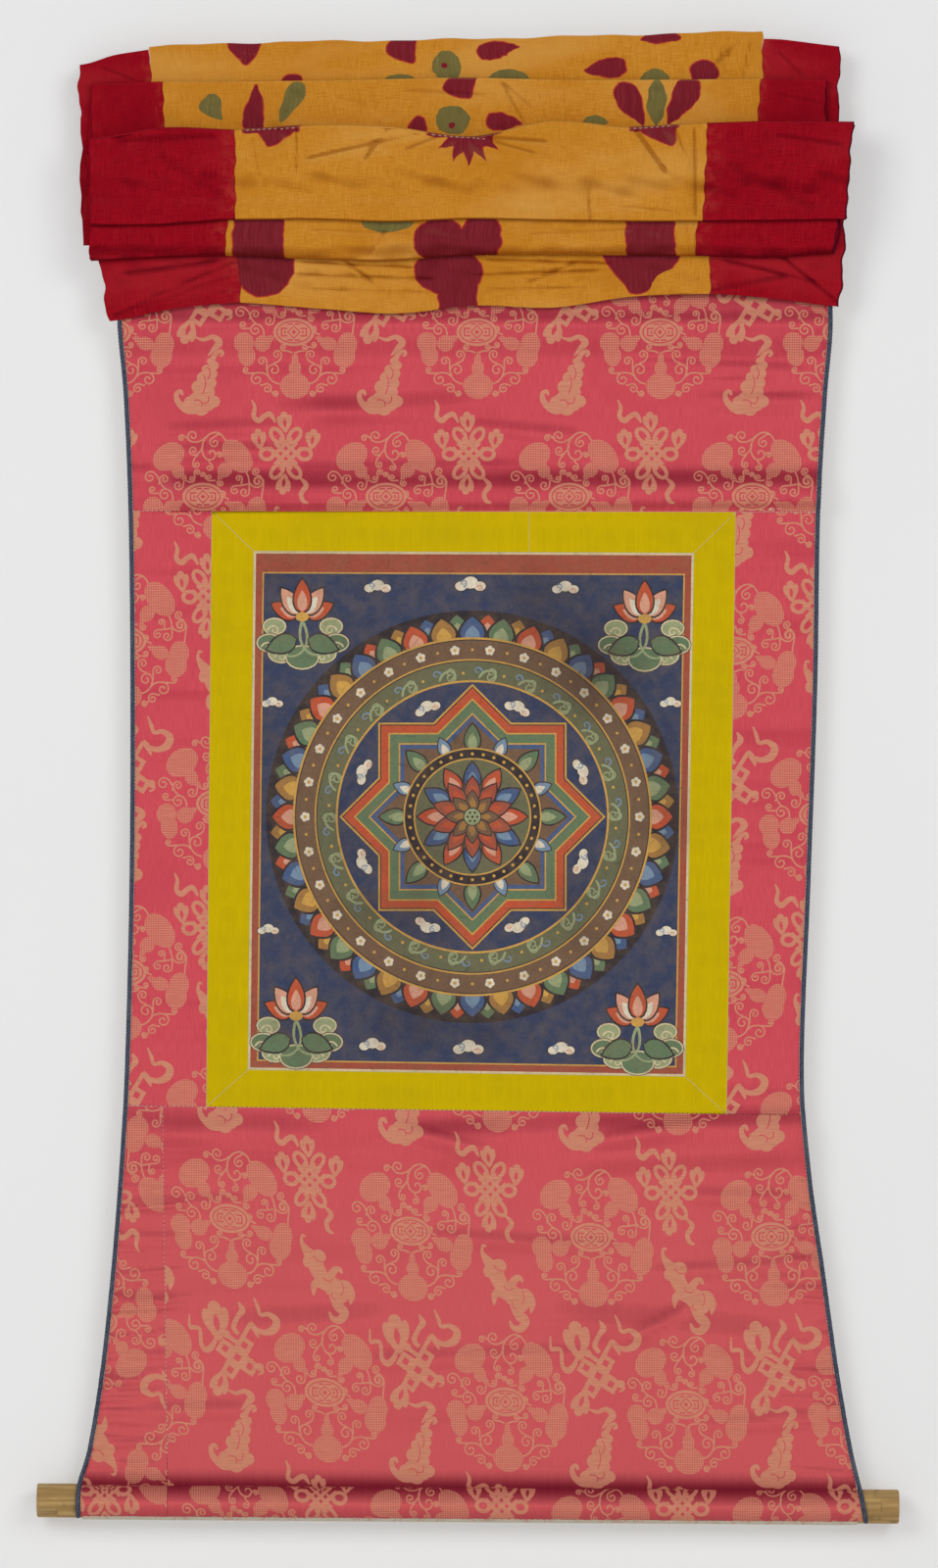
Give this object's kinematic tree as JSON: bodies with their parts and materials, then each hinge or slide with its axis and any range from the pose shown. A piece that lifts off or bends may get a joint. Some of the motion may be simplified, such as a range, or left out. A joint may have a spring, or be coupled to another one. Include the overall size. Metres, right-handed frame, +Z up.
{
  "type": "hanging scroll painting with foot dowel",
  "caption": "Painted canvas in a yellow silk border and pink damask mount with corded edges, a pleated silk veil at its head and a wooden dowel sewn in at its foot.",
  "frame": {"origin": "middle of the silk mount's top edge, in the plane that it hangs in", "axes": "+X to the viewer's right, +Z up; the painted face looks towards -Y"},
  "size_m": [0.8352, 0.0569, 1.4482],
  "materials": {
    "damask": "pink silk damask, satin ground with a matt tan figure",
    "border_silk": "acid yellow silk with a faint tone-on-tone figure",
    "canvas": "matt mineral colours on primed cotton",
    "veil_ochre": "thin slubbed silk, resist-dyed",
    "veil_crimson": "thin slubbed silk, slightly sheer",
    "cord": "whipped slate-blue yarn",
    "lining": "plain undyed cotton",
    "wood": "bare, hand-rubbed wood"
  },
  "bodies": {
    "root": {"painting": "canvas", "border_top_left": "border_silk", "border_top_right": "border_silk", "border_left": "border_silk", "border_right": "border_silk", "border_foot": "border_silk", "panel_head": "damask", "panel_left": "damask", "panel_right": "damask", "panel_foot": "damask", "panel_foot_gore": "damask", "foot_lining": "lining", "edge_cord_left": "cord", "edge_cord_right": "cord", "veil_centre": "veil_ochre", "veil_end_left": "veil_crimson", "veil_end_right": "veil_crimson", "dowel": "wood"}
  },
  "joints": []
}
